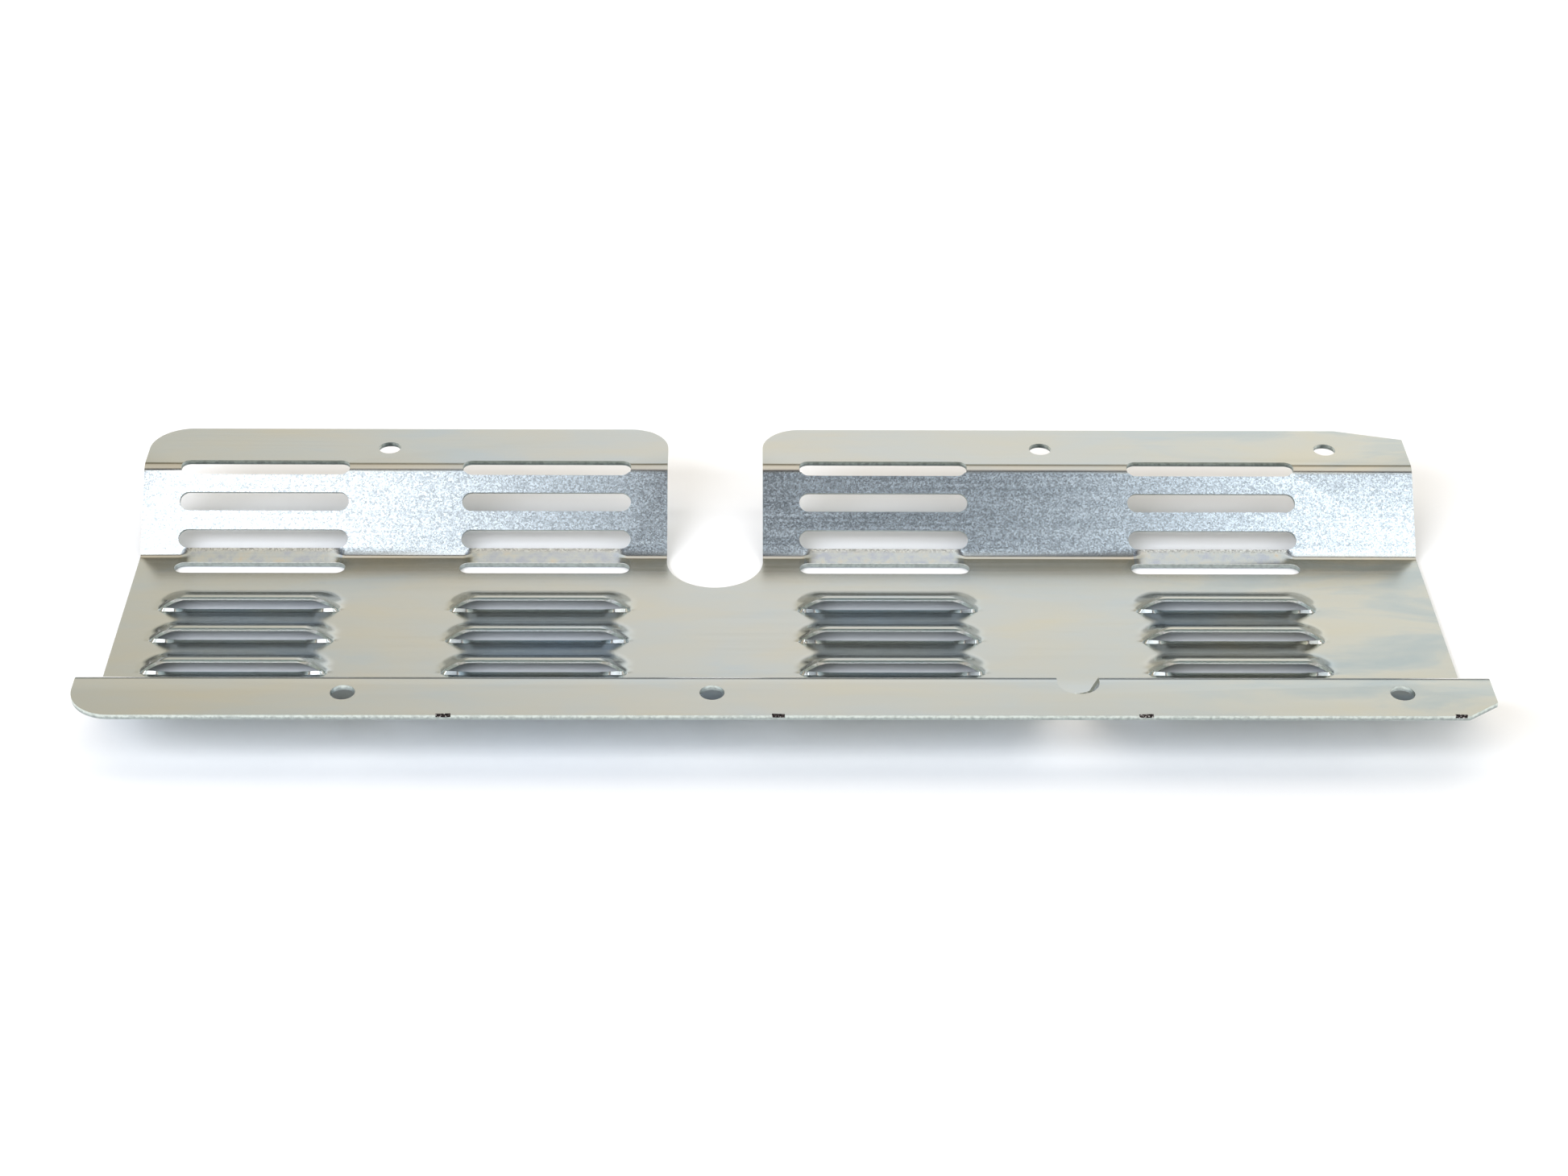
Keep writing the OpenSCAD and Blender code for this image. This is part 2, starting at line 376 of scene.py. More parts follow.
def add_node(tree, kind, settings=None, **inputs):
    """Add a node; a socket is given a value or is linked to another node's socket.

    The setting `stops` is a colour ramp's list of positions and hex colours, in rising order.
    An input named by a number, as in _0, is the socket at that place."""
    made = tree.nodes.new(kind)
    settings = dict(settings or {})
    for spot, (position, colour) in enumerate(settings.pop("stops", ())):
        elements = made.color_ramp.elements
        element = elements[spot] if spot < 2 else elements.new(position)
        element.position, element.color = position, linear(colour)
    for name, value in settings.items():
        setattr(made, name, value)
    for name, value in inputs.items():
        key = int(name[1:]) if name[0] == "_" else name.replace("_", " ")
        socket = made.inputs[key]
        if isinstance(value, bpy.types.NodeSocket):
            tree.links.new(value, socket)
        else:
            socket.default_value = value
    return made


def new_finish(name):
    """Start a material and hand back its node tree, its shader and its object coordinates."""
    finish = bpy.data.materials.new(name)
    finish.use_nodes = True
    tree = finish.node_tree
    shader = tree.nodes["Principled BSDF"]
    place = add_node(tree, "ShaderNodeTexCoord").outputs["Object"]
    return finish, tree, shader, place


print("zinc grey in linear light:", [round(c, 3) for c in linear("#c8c8be")[:3]])

# %% [markdown]
# ## Zinc plate on steel
# The sheet is electroplated and passivated, which gives a satin metal of a warm grey with faint
# yellow and blue stains. Rolling leaves fine streaks along the sheet. On the rear wall the coat is
# coarser, and its sparkle is painted into the colour as lighter and darker crystals. Zinc is a
# metal, so its colour goes into the base colour at metallic 1, where a coloured plastic would have
# metallic 0. The finish lives in the roughness and in a very shallow bump.

# %% Zinc plate: streaks, stains, crystals and blotches
zinc, tree, shader, place = new_finish("zinc plated steel, clear passivated")
apart = add_node(tree, "ShaderNodeSeparateXYZ", Vector=place)
# Rolling streaks: some 60 mm long and a millimetre wide
stretched = add_node(tree, "ShaderNodeMapping", Vector=place, Scale=(16, 900, 900))
streaks = add_node(tree, "ShaderNodeTexNoise", Vector=stretched.outputs[0],
                   Scale=1.0, Detail=4.0, Roughness=0.6)
# Passivation stains: 18 mm across, and drawn out to 50 mm along the sheet
drawn_out = add_node(tree, "ShaderNodeMapping", Vector=place, Scale=(20, 55, 55))
stains = add_node(tree, "ShaderNodeTexNoise", Vector=drawn_out.outputs[0],
                  Scale=1.0, Detail=5.0, Roughness=0.55, Distortion=0.4)
# Crystals of the coarser coat on the wall: really some 0.3 mm, drawn at 0.44 mm to show
grains = add_node(tree, "ShaderNodeTexVoronoi", Vector=place, Scale=1 / (0.44 * MM))
crystals = add_node(tree, "ShaderNodeSeparateColor", Color=grains.outputs["Color"])
# Blotches of the flat strips: 4 mm across
blots = add_node(tree, "ShaderNodeTexNoise", Vector=place, Scale=1 / (4 * MM), Detail=4.0,
                 Roughness=0.6)
print("zinc patterns:", len([n for n in tree.nodes if n.type.startswith("TEX_")]))

# %% Zinc plate: where each coat lies
wall_low = add_node(tree, "ShaderNodeMapRange", Value=apart.outputs["Y"],
                    From_Min=REAR_FOOT + 0.6 * MM, From_Max=REAR_FOOT + 1.8 * MM)
wall_high = add_node(tree, "ShaderNodeMapRange", Value=apart.outputs["Y"],
                     From_Min=REAR_TOP - 1.2 * MM, From_Max=REAR_TOP - 1.7 * MM)
on_wall = add_node(tree, "ShaderNodeMath", {"operation": "MULTIPLY"},
                   _0=wall_low.outputs[0], _1=wall_high.outputs[0])
strip_low = add_node(tree, "ShaderNodeMapRange", Value=apart.outputs["Y"],
                     From_Min=REAR_FOOT - STRIP_HALF - 0.6 * MM,
                     From_Max=REAR_FOOT - STRIP_HALF)
strip_high = add_node(tree, "ShaderNodeMapRange", Value=apart.outputs["Y"],
                      From_Min=REAR_FOOT + STRIP_HALF, From_Max=REAR_FOOT + 0.5 * MM)
on_strip = add_node(tree, "ShaderNodeMath", {"operation": "MULTIPLY"},
                    _0=strip_low.outputs[0], _1=strip_high.outputs[0])
on_columns = 0.0
for x in COLUMNS:
    beside = add_node(tree, "ShaderNodeMath", {"operation": "COMPARE"},
                      _0=apart.outputs["X"], _1=x, _2=STRIP_ENDS[1])
    together = add_node(tree, "ShaderNodeMath", {"operation": "ADD"},
                        _0=on_columns, _1=beside.outputs[0])
    on_columns = together.outputs[0]
on_flat_strip = add_node(tree, "ShaderNodeMath", {"operation": "MULTIPLY"},
                         _0=on_strip.outputs[0], _1=on_columns)
to_right = add_node(tree, "ShaderNodeMapRange", Value=apart.outputs["X"],
                    From_Min=RIGHT - 100 * MM, From_Max=RIGHT - 30 * MM)
print("blotches reach", round(STRIP_ENDS[1] / MM, 2), "mm to each side of a column's middle")

# %% Zinc plate: colour
stained = add_node(tree, "ShaderNodeValToRGB", {"stops": (
    (0.28, "#c6d2dc"), (0.42, "#ccd3d6"), (0.60, "#d0d3d0"), (0.78, "#d4d3c8"))},
    Fac=stains.outputs["Fac"])
# Towards the right end the stains are stronger, cream on grey
strong = add_node(tree, "ShaderNodeValToRGB", {"stops": (
    (0.36, "#bfcacf"), (0.47, "#c9d0d1"), (0.55, "#d5d6d0"), (0.68, "#d9d6c9"))},
    Fac=stains.outputs["Fac"])
old_stains = add_node(tree, "ShaderNodeMix", {"data_type": "RGBA"}, Factor=to_right.outputs[0],
                      _6=stained.outputs[0], _7=strong.outputs[0])
# The flat strips were worked less, and their coat is blotched
blotched = add_node(tree, "ShaderNodeValToRGB", {"stops": (
    (0.34, "#bccae0"), (0.50, "#c8d6e2"), (0.66, "#d0d8dc"), (0.82, "#dccfba"))},
    Fac=blots.outputs["Fac"])
coat = add_node(tree, "ShaderNodeMix", {"data_type": "RGBA"}, Factor=on_flat_strip.outputs[0],
                _6=old_stains.outputs[2], _7=blotched.outputs[0])
streak_shade = add_node(tree, "ShaderNodeMapRange", Value=streaks.outputs["Fac"],
                        From_Min=0.3, From_Max=0.7, To_Min=0.95, To_Max=1.03)
rolled = add_node(tree, "ShaderNodeMix", {"data_type": "RGBA", "blend_type": "MULTIPLY"},
                  Factor=1.0, _6=coat.outputs[2], _7=streak_shade.outputs[0])
# Painted glints: each crystal is made lighter or darker in the colour, for the light it catches or
# misses
sparkle = add_node(tree, "ShaderNodeMapRange", Value=crystals.outputs[0],
                   To_Min=0.60, To_Max=1.28)
crystal_tint_and_glints = add_node(tree, "ShaderNodeMix", {"data_type": "RGBA", "blend_type": "MULTIPLY"},
                        Factor=1.0, _6=linear("#c8d2da"), _7=sparkle.outputs[0])
colour = add_node(tree, "ShaderNodeMix", {"data_type": "RGBA"}, Factor=on_wall.outputs[0],
                  _6=rolled.outputs[2], _7=crystal_tint_and_glints.outputs[2])
tree.links.new(colour.outputs[2], shader.inputs["Base Color"])
print("zinc colour:", len(tree.nodes), "nodes so far")

# %% Zinc plate: metal, roughness and bump
shader.inputs["Metallic"].default_value = 1.0
rough = add_node(tree, "ShaderNodeMapRange", Value=streaks.outputs["Fac"],
                 From_Min=0.3, From_Max=0.7, To_Min=0.17, To_Max=0.24)
tree.links.new(rough.outputs[0], shader.inputs["Roughness"])
grain = add_node(tree, "ShaderNodeMath", {"operation": "MULTIPLY"},
                 _0=crystals.outputs[1], _1=on_wall.outputs[0])
bump = add_node(tree, "ShaderNodeBump", Strength=0.5, Distance=0.02 * MM,
                Height=grain.outputs[0])
tree.links.new(bump.outputs[0], shader.inputs["Normal"])
print("finish:", zinc.name)

# %% [markdown]
# ## Bare sheared edge
# Where a punch or a shear cut through, half of the edge is burnished bright and the rest broke
# away rough and dark. The flanges were cut from above, so their bright half is the upper one. The
# louvres were sheared from below, so theirs is the lower one. Each edge could be painted by hand,
# but height tells the two kinds apart, so the finish works out for itself where it lies.

# %% Sheared edge: where it is burnished
sheared_steel, tree, shader, place = new_finish("sheared steel edge, thinly plated")
apart = add_node(tree, "ShaderNodeSeparateXYZ", Vector=place)
# Where the break starts wanders by a tenth of the thickness, every millimetre or so
marks = add_node(tree, "ShaderNodeTexNoise", Vector=place, Scale=1 / (1.2 * MM), Detail=3.0)
wander = add_node(tree, "ShaderNodeMapRange", Value=marks.outputs["Fac"], From_Min=0.3,
                  From_Max=0.7, To_Min=-0.1 * THICK, To_Max=0.1 * THICK)
height = add_node(tree, "ShaderNodeMath", {"operation": "ADD"},
                  _0=apart.outputs["Z"], _1=wander.outputs[0])
on_flange = add_node(tree, "ShaderNodeMapRange", Value=height.outputs[0], To_Max=0.6,
                     From_Min=FLANGE_Z - 0.65 * THICK, From_Max=FLANGE_Z - 0.4 * THICK)
lip_top = THICK + LOUVRE_RISE
on_lip = add_node(tree, "ShaderNodeMapRange", Value=height.outputs[0],
                  From_Min=lip_top - 0.3 * THICK, From_Max=lip_top - 0.5 * THICK)
above_lips = add_node(tree, "ShaderNodeMath", {"operation": "GREATER_THAN"},
                      _0=apart.outputs["Z"], _1=lip_top + THICK)
print("edge parts change over at", round((lip_top + THICK) / MM, 2), "mm of height")

# %% Sheared edge: tips, floor and burr
# Towards the tips of a lip its edge is duller, and the floor's own edges are dark, but for the
# burr along each louvre, whose bright line is a painted highlight of light caught by the burr
to_crest = add_node(tree, "ShaderNodeMapRange", Value=height.outputs[0], To_Min=0.4,
                    From_Min=lip_top - 1.3 * THICK, From_Max=lip_top - 0.9 * THICK)
lip_edge = add_node(tree, "ShaderNodeMath", {"operation": "MULTIPLY"},
                    _0=on_lip.outputs[0], _1=to_crest.outputs[0])
above_floor = add_node(tree, "ShaderNodeMath", {"operation": "GREATER_THAN"},
                       _0=apart.outputs["Z"], _1=0.9 * THICK)
above_only = add_node(tree, "ShaderNodeMath", {"operation": "MULTIPLY"},
                      _0=lip_edge.outputs[0], _1=above_floor.outputs[0])
# Painted highlight: edge faces at the floor's top height are made bright, for light caught by the
# burr
burr_glint = add_node(tree, "ShaderNodeMath", {"operation": "COMPARE"},
                   _0=apart.outputs["Z"], _1=THICK, _2=0.05 * THICK)
lip_edge_and_burr_glint = add_node(tree, "ShaderNodeMath", {"operation": "MAXIMUM"},
                    _0=above_only.outputs[0], _1=burr_glint.outputs[0])
burnish_and_burr_glint = add_node(tree, "ShaderNodeMix", Factor=above_lips.outputs[0],
                     _2=lip_edge_and_burr_glint.outputs[0], _3=on_flange.outputs[0])
print("edge pattern:", len(tree.nodes), "nodes so far")

# %% Sheared edge: colour and roughness
tone = add_node(tree, "ShaderNodeValToRGB", {"stops": (
    (0.0, "#a6afad"), (0.6, "#d2dad4"), (1.0, "#ffffff"))}, Fac=burnish_and_burr_glint.outputs[0])
chips = add_node(tree, "ShaderNodeMapRange", Value=marks.outputs["Fac"], From_Min=0.40,
                 From_Max=0.56, To_Min=0.8, To_Max=1.0)
chipped = add_node(tree, "ShaderNodeMix", {"data_type": "RGBA", "blend_type": "MULTIPLY"},
                   Factor=1.0, _6=tone.outputs[0], _7=chips.outputs[0])
tree.links.new(chipped.outputs[2], shader.inputs["Base Color"])
shader.inputs["Metallic"].default_value = 1.0
shader.inputs["Roughness"].default_value = 0.36
print("finish:", sheared_steel.name)

# %% [markdown]
# ## Give the sheet its thickness
# The back could be modelled as a second surface, but Solidify grows the metal below the first one.
# With an even thickness the arcs stay arcs, and the new rim takes the second finish, which is the
# bare edge. Pressing drew the metal thin along the lips, so the underside is raised there.

# %% Thicken
LIP_THINNING, TIP_THINNING = 0.4 * MM, 1.05 * MM
THINNED_DEPTH, FULLY_RISEN = 4 * MM, 0.5 * MM


def thin_lip(point):
    """Raise the underside near a lip, most at the lip's tips."""
    co = point.co
    lip = max((edge for edge in LIPS if co.y > edge - THICK / 2), default=co.y)
    behind = max(0, co.y - lip)
    height = press_height(Vector((co.x, lip + behind, co.z)))
    is_under = THICK / 20 < co.z < THICK + height - THICK / 2
    if height <= 0 or not is_under or behind > THINNED_DEPTH:
        return co
    to_tip = 1 - min(1, (LOUVRE_LENGTH / 2 - from_column(co)) / LOUVRE_END)
    thinning = LIP_THINNING + (TIP_THINNING - LIP_THINNING) * to_tip
    share = min(1, height / FULLY_RISEN) * (1 - behind / THINNED_DEPTH)
    return co + Vector((0, 0, thinning * share))


activate(sheet)
sheet.data.materials[0], sheet.data.materials[BARE_EDGE_SLOT] = zinc, sheared_steel
bpy.ops.object.modifier_add(type="SOLIDIFY")
solid = sheet.modifiers[-1]
solid.thickness, solid.offset, solid.use_even_offset = THICK, -1.0, True
solid.material_offset_rim = BARE_EDGE_SLOT
bpy.ops.object.modifier_apply(modifier=solid.name)
bpy.ops.object.mode_set(mode="EDIT")
print("thinned under the lips:", reshape(thin_lip), "points")
bpy.ops.object.mode_set(mode="OBJECT")
print("thick sheet:", len(sheet.data.polygons), "faces")

# %% [markdown]
# ## Cutters
# The real openings were punched while the sheet was flat. Here they could be left out of the
# surface from the start, but then every fold would have to be modelled around them. So they are
# cut last: a cutter is a simple solid that is put in place, and one Boolean takes a whole set of
# them out. Their faces carry the finish of the cut, which the Boolean passes on to the sheet.

# %% Helpers for cutting
DEEP = 4 * THICK


def settle(thing):
    """Put an object's place and turn into its mesh."""
    activate(thing)
    bpy.ops.object.transform_apply(location=True, rotation=True, scale=True)


def box_cutter(size, place, tilt=0.0, turn=0.0):
    """A box of the given size at a place, tilted about X or turned about Z."""
    bpy.ops.object.select_all(action="DESELECT")
    bpy.ops.mesh.primitive_cube_add(size=1, location=place, rotation=(tilt, 0, turn))
    made = bpy.context.object
    made.scale = size
    settle(made)
    return made


def round_ended_cutter(length, width, height, place, tilt=0.0, turn=0.0, points=48):
    """A bar with full-round ends: a cylinder whose halves are pulled apart."""
    bpy.ops.object.select_all(action="DESELECT")
    half_step = pi / points
    bpy.ops.mesh.primitive_cylinder_add(
        vertices=points, radius=width / 2 / cos(half_step), depth=height, rotation=(0, 0, half_step))
    made = bpy.context.object
    settle(made)
    bpy.ops.object.mode_set(mode="EDIT")
    for side in (-1, 1):
        pick("VERT", lambda co: co.x * side > 0)
        bpy.ops.transform.translate(value=(side * (length - width) / 2, 0, 0))
    bpy.ops.object.mode_set(mode="OBJECT")
    made.rotation_euler = (tilt, 0, turn)
    made.location = place
    settle(made)
    return made


print("cutters for a flat panel are", round(DEEP / MM, 1), "mm deep")

# %% Helpers for trimming and combining
def trim(cutter, point, away):
    """Cut a cutter off at a plane; what lies on the side that `away` points to goes."""
    activate(cutter)
    bpy.ops.object.mode_set(mode="EDIT")
    bpy.ops.mesh.select_all(action="SELECT")
    bpy.ops.mesh.bisect(plane_co=point, plane_no=away, use_fill=True, clear_outer=True)
    bpy.ops.object.mode_set(mode="OBJECT")
    return cutter


def cut_out(tools, finish):
    """Join the tools into one solid, give it a finish, and take it out of the sheet."""
    bpy.ops.object.select_all(action="DESELECT")
    for tool in tools:
        tool.data.materials.clear()
        tool.data.materials.append(finish)
        tool.select_set(True)
    bpy.context.view_layer.objects.active = tools[0]
    bpy.ops.object.join()
    tool = bpy.context.object
    activate(sheet)
    bpy.ops.object.modifier_add(type="BOOLEAN")
    boolean = sheet.modifiers[-1]
    boolean.operation, boolean.object = "DIFFERENCE", tool
    boolean.solver, boolean.material_mode = "EXACT", "TRANSFER"
    bpy.ops.object.modifier_apply(modifier=boolean.name)
    bpy.data.objects.remove(tool)
    print("the cut leaves", len(sheet.data.polygons), "faces")


print("before cutting:", len(sheet.data.polygons), "faces")

# %% [markdown]
# ## Pierce the sheet
# Each slot, hole and notch was punched square to the flat sheet, so its cutter stands square to
# its own panel. A row of slots lies on the upper rear bend: one half of each is cut from the
# flange and the other from the wall, and the two cutters stop at the bend. The relief in the front
# bend is made in the same two halves.

# %% Slots and screw holes
OVERLAP, SLACK = 0.2 * MM, 0.02 * MM
# How far the rounded bend's arc reaches from its fold line, measured level
ROUND_REACH = ROUND_RADIUS * sin(SLOPE) - ROUND_SETBACK + SLACK


def on_rear_wall(x, up, out=0.0):
    """A point at a distance up the rear wall's upper face, and out of it."""
    return Vector((x, REAR_FOOT + up * cos(SLOPE) - out * sin(SLOPE),
                   THICK + up * sin(SLOPE) + out * cos(SLOPE)))


straight_cuts, wall_cuts = [], []
for x in COLUMNS:
    straight_cuts.append(round_ended_cutter(
        SLOT_LENGTH, SLOT_HEIGHT, DEEP, (x, REAR_FOOT - SLOT_PITCH / 2, THICK / 2)))
    over_bend = round_ended_cutter(SLOT_LENGTH, SLOT_HEIGHT, DEEP, (x, REAR_TOP, FLANGE_Z))
    straight_cuts.append(trim(over_bend, (0, REAR_TOP - ROUND_REACH, 0), (0, -1, 0)))
    for up in (SLOT_PITCH / 2, SLOT_PITCH * 3 / 2, WALL):
        cut = round_ended_cutter(SLOT_LENGTH, SLOT_HEIGHT, DEEP,
                                 on_rear_wall(x, up, -THICK / 2), tilt=SLOPE)
        if up == WALL:
            trim(cut, on_rear_wall(x, WALL - ROUND_SETBACK + OVERLAP), up_wall)
        wall_cuts.append(cut)
holes = [m for m in frame["record"]["mounts"] if m["kind"] == "bore"]
for hole in holes:
    x, y, z = hole["pos_m"]
    wide = 2 * hole["dims"]["r_mm"] * MM
    straight_cuts.append(round_ended_cutter(wide, wide, DEEP, (x, y, z)))
print(len(straight_cuts), "straight cutters,", len(wall_cuts), "on the wall")

# %% Relief across the front bend
RELIEF_WIDTH, RELIEF_REACH, RELIEF_FOOT = 12 * MM, 8.5 * MM, 1 * MM
RELIEF_X = sorted(m["pos_m"][0] for m in holes if m["pos_m"][1] > 0)[1]


def on_front_wall(x, up, out=0.0):
    point = on_rear_wall(x, up, out)
    return Vector((x, FRONT_FOOT - (point.y - REAR_FOOT), point.z))


relief_drop = WALL - HOLLOW_SETBACK - RELIEF_FOOT
relief_length = RELIEF_REACH + relief_drop
relief_middle = (RELIEF_REACH - relief_drop) / 2
flange_relief = round_ended_cutter(relief_length, RELIEF_WIDTH, DEEP,
                                   (RELIEF_X, FRONT_TOP - relief_middle, FLANGE_Z), turn=pi / 2)
straight_cuts.append(trim(flange_relief, (0, FRONT_TOP + ROUND_REACH, 0), (0, 1, 0)))
wall_relief = round_ended_cutter(relief_length, RELIEF_WIDTH, DEEP, (0, 0, 0), turn=pi / 2)
wall_relief.rotation_euler = (-SLOPE, 0, 0)
wall_relief.location = on_front_wall(RELIEF_X, WALL + relief_middle, -THICK / 2)
settle(wall_relief)
up_front_wall = Vector((0, -cos(SLOPE), sin(SLOPE)))
bend_start = on_front_wall(0, WALL - ROUND_SETBACK + OVERLAP)
wall_cuts.append(trim(wall_relief, bend_start, up_front_wall))
print("relief at X =", round(RELIEF_X / MM, 1), "mm,", round(relief_length / MM, 1), "mm long")

# %% Notch in the rear
NOTCH_WIDTH, NOTCH_REACH = 30 * MM, 17 * MM
NOTCH_X = sorted(m["pos_m"][0] for m in holes if m["pos_m"][1] < 0)[1]

notch_height = FLANGE_Z + DEEP
notch_length = REAR_EDGE - REAR_FOOT + NOTCH_REACH + NOTCH_WIDTH
notch = round_ended_cutter(
    notch_length, NOTCH_WIDTH, notch_height,
    (NOTCH_X, REAR_FOOT - NOTCH_REACH + notch_length / 2, FLANGE_Z / 2), turn=pi / 2, points=96)
cut_out(straight_cuts, sheared_steel)
cut_out(wall_cuts, sheared_steel)
cut_out([notch], sheared_steel)
print("notch at X =", round(NOTCH_X / MM, 1), "mm")

# %% [markdown]
# ## Cut off the right corners
# Both flanges end on the right in a slanted cut, which was sheared off straight. A bevel of the
# corner point would give the same line for a cut of 45 degrees only. These slants are longer
# along the tray than across it, so a box is laid against each line and taken out.

# %% Slanted corners
REAR_SLANT, FRONT_SLANT = (21 * MM, 5.5 * MM), (9 * MM, 6.5 * MM)
SLANT_BOX = 12 * MM


def slant_cutter(edge, cut, outward):
    """A box whose side lies along a slanted cut across a flange's right corner."""
    along, across = cut
    start, end = Vector((RIGHT - along, edge)), Vector((RIGHT, edge - outward * across))
    line = end - start
    normal = Vector((-line.y, line.x)).normalized()
    if normal.y * outward < 0:
        normal.negate()
    middle = (start + end) / 2 + normal * SLANT_BOX / 2
    turn = Vector((1, 0)).angle_signed(line) * -1
    size = (line.length + SLANT_BOX, SLANT_BOX, DEEP)
    return box_cutter(size, (middle.x, middle.y, FLANGE_Z), turn=turn)


slants = [slant_cutter(REAR_EDGE, REAR_SLANT, 1), slant_cutter(FRONT_EDGE, FRONT_SLANT, -1)]
cut_out(slants, sheared_steel)

# %% [markdown]
# ## Tear off the tabs
# In the press the blank hung in its strip by small tabs, and each left a dark ragged scar in the
# front edge. A stain alone would be too smooth, so a small box on its corner notches the edge, and
# the notch is lined with torn steel. Each box has its own width and skew, as no two tears match.

# %% Torn tabs
TEAR_SIDE = 1.1 * MM
TEARS = ((-95, 0.05, 4.2), (-2, -0.04, 3.6), (100.5, 0.06, 4.0), (188.5, -0.05, 3.4))

torn_steel, tree, shader, place = new_finish("torn steel, unplated")
# Grit of half a millimetre: dark steel, with a few bright grains that are painted glints of the torn
# burr
grit_and_glints = add_node(tree, "ShaderNodeTexNoise", Vector=place, Scale=1 / (0.5 * MM), Detail=2.0)
tone = add_node(tree, "ShaderNodeValToRGB", {"stops": (
    (0.42, "#221e1f"), (0.57, "#4a4140"), (0.66, "#e6e2e0"))}, Fac=grit_and_glints.outputs["Fac"])
tree.links.new(tone.outputs[0], shader.inputs["Base Color"])
shader.inputs["Metallic"].default_value = 1.0
shader.inputs["Roughness"].default_value = 0.6

tears = []
for x, askew, wide in TEARS:
    tears.append(box_cutter((wide * MM, TEAR_SIDE, TEAR_SIDE), (x * MM, FRONT_EDGE, FLANGE_Z),
                            tilt=radians(45), turn=askew))
cut_out(tears, torn_steel)

# %% [markdown]
# ## Round the corners at the notch
# The rear flange's corners at the notch are rounded too. They only exist once the notch is cut,
# so they couldn't be rounded with the others. In the thick sheet each is one short upright edge,
# so a bevel of those two edges makes the arcs.

# %% Corners
NOTCH_CORNER = 12 * MM

activate(sheet)
bpy.ops.object.mode_set(mode="EDIT")
for corner_x in (NOTCH_X - NOTCH_WIDTH / 2, NOTCH_X + NOTCH_WIDTH / 2):
    found = pick("EDGE", lambda co: near(co.x, corner_x, 2 * SAME_PLACE)
                 and near(co.y, REAR_EDGE, 2 * SAME_PLACE))
    bpy.ops.mesh.bevel(offset_type="OFFSET", offset=NOTCH_CORNER, segments=16, affect="EDGES")
    print("corner at X =", round(corner_x / MM, 1), "mm:", found, "edge rounded")
bpy.ops.object.mode_set(mode="OBJECT")

# %% [markdown]
# ## Break the edges
# No real edge is perfectly sharp, and a narrow bevel catches a line of light. A Bevel modifier
# finds every sharp edge by its angle, which picking by hand would not do as surely. The faces are
# then shaded smooth, except across real corners.

# %% Narrow bevel and smoothing
EDGE_BREAK = 0.09 * MM

activate(sheet)
bpy.ops.object.modifier_add(type="BEVEL")
broken = sheet.modifiers[-1]
broken.width, broken.segments, broken.limit_method = EDGE_BREAK, 1, "ANGLE"
broken.material = BARE_EDGE_SLOT
broken.angle_limit = radians(50)
bpy.ops.object.modifier_apply(modifier=broken.name)
bpy.ops.object.shade_smooth_by_angle(angle=radians(38))
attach(sheet, "root")
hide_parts(*frame["nodes"])
print("finished sheet:", len(sheet.data.polygons), "faces,",
      [slot.material.name for slot in sheet.material_slots])

# %% [markdown]
# ## Table
# The tray lies on a plain white table. It is a plane that reaches far past the view, of white
# paper, which has no gloss. It lies a hair below the tray, so that the two faces don't flicker.

# %% Table
TABLE_GAP = 0.2 * MM

bpy.ops.object.select_all(action="DESELECT")
bpy.ops.mesh.primitive_plane_add(size=8, location=(0, 0, -TABLE_GAP))
table = bpy.context.object
table.name = "table"
paper, _, shader, _ = new_finish("white paper")
shader.inputs["Base Color"].default_value = linear("#f4f4f4")
shader.inputs["Roughness"].default_value = 0.9
table.data.materials.append(paper)
settle(table)
print("table size in m:", [round(side, 1) for side in table.dimensions[:2]])

# %% [markdown]
# ## Room
# A satin metal shows its room, and lamps alone would leave it black between their highlights. So
# the room is built by the angle that each panel mirrors. The floor and flanges mirror the pale
# wall behind the table, and the bends sweep over the ceiling, so they show its brown, its light
# and its dark side as lines. The rear wall mirrors the front of the room, where two white screens
# stand left and right of the darkness around the camera.

# %% Room: from the front over the ceiling to the back
ROOM_BRIGHTNESS, SCREENS = 1.3, 2.4

world = bpy.data.worlds.new("room")
bpy.context.scene.world = world
world.use_nodes = True
tree = world.node_tree
looking = add_node(tree, "ShaderNodeTexCoord").outputs["Generated"]
apart = add_node(tree, "ShaderNodeSeparateXYZ", Vector=looking)
forward = add_node(tree, "ShaderNodeMath", {"operation": "MULTIPLY"},
                   _0=apart.outputs["Y"], _1=-1.0)
angle = add_node(tree, "ShaderNodeMath", {"operation": "ARCTAN2"},
                 _0=apart.outputs["Z"], _1=forward.outputs[0])
over_the_top = add_node(tree, "ShaderNodeMath", {"operation": "DIVIDE"},
                        _0=angle.outputs[0], _1=pi)
ceiling = add_node(tree, "ShaderNodeValToRGB", {"stops": (
    (0.0, "#94969c"), (0.14, "#d0d8e2"), (0.26, "#f0f5fb"), (0.35, "#3c3a40"),
    (0.41, "#2a272b"), (0.44, "#8c827c"), (0.475, "#f6eadf"), (0.64, "#ecdfd0"),
    (0.69, "#7c715e"), (0.768, "#8a8270"), (0.795, "#f4eee6"), (0.85, "#f4f0ec"),
    (0.90, "#c0c0be"), (0.96, "#4c4d4e"), (1.0, "#3c3d3e"))}, Fac=over_the_top.outputs[0])
print("colours from front to back:", len(ceiling.color_ramp.elements))

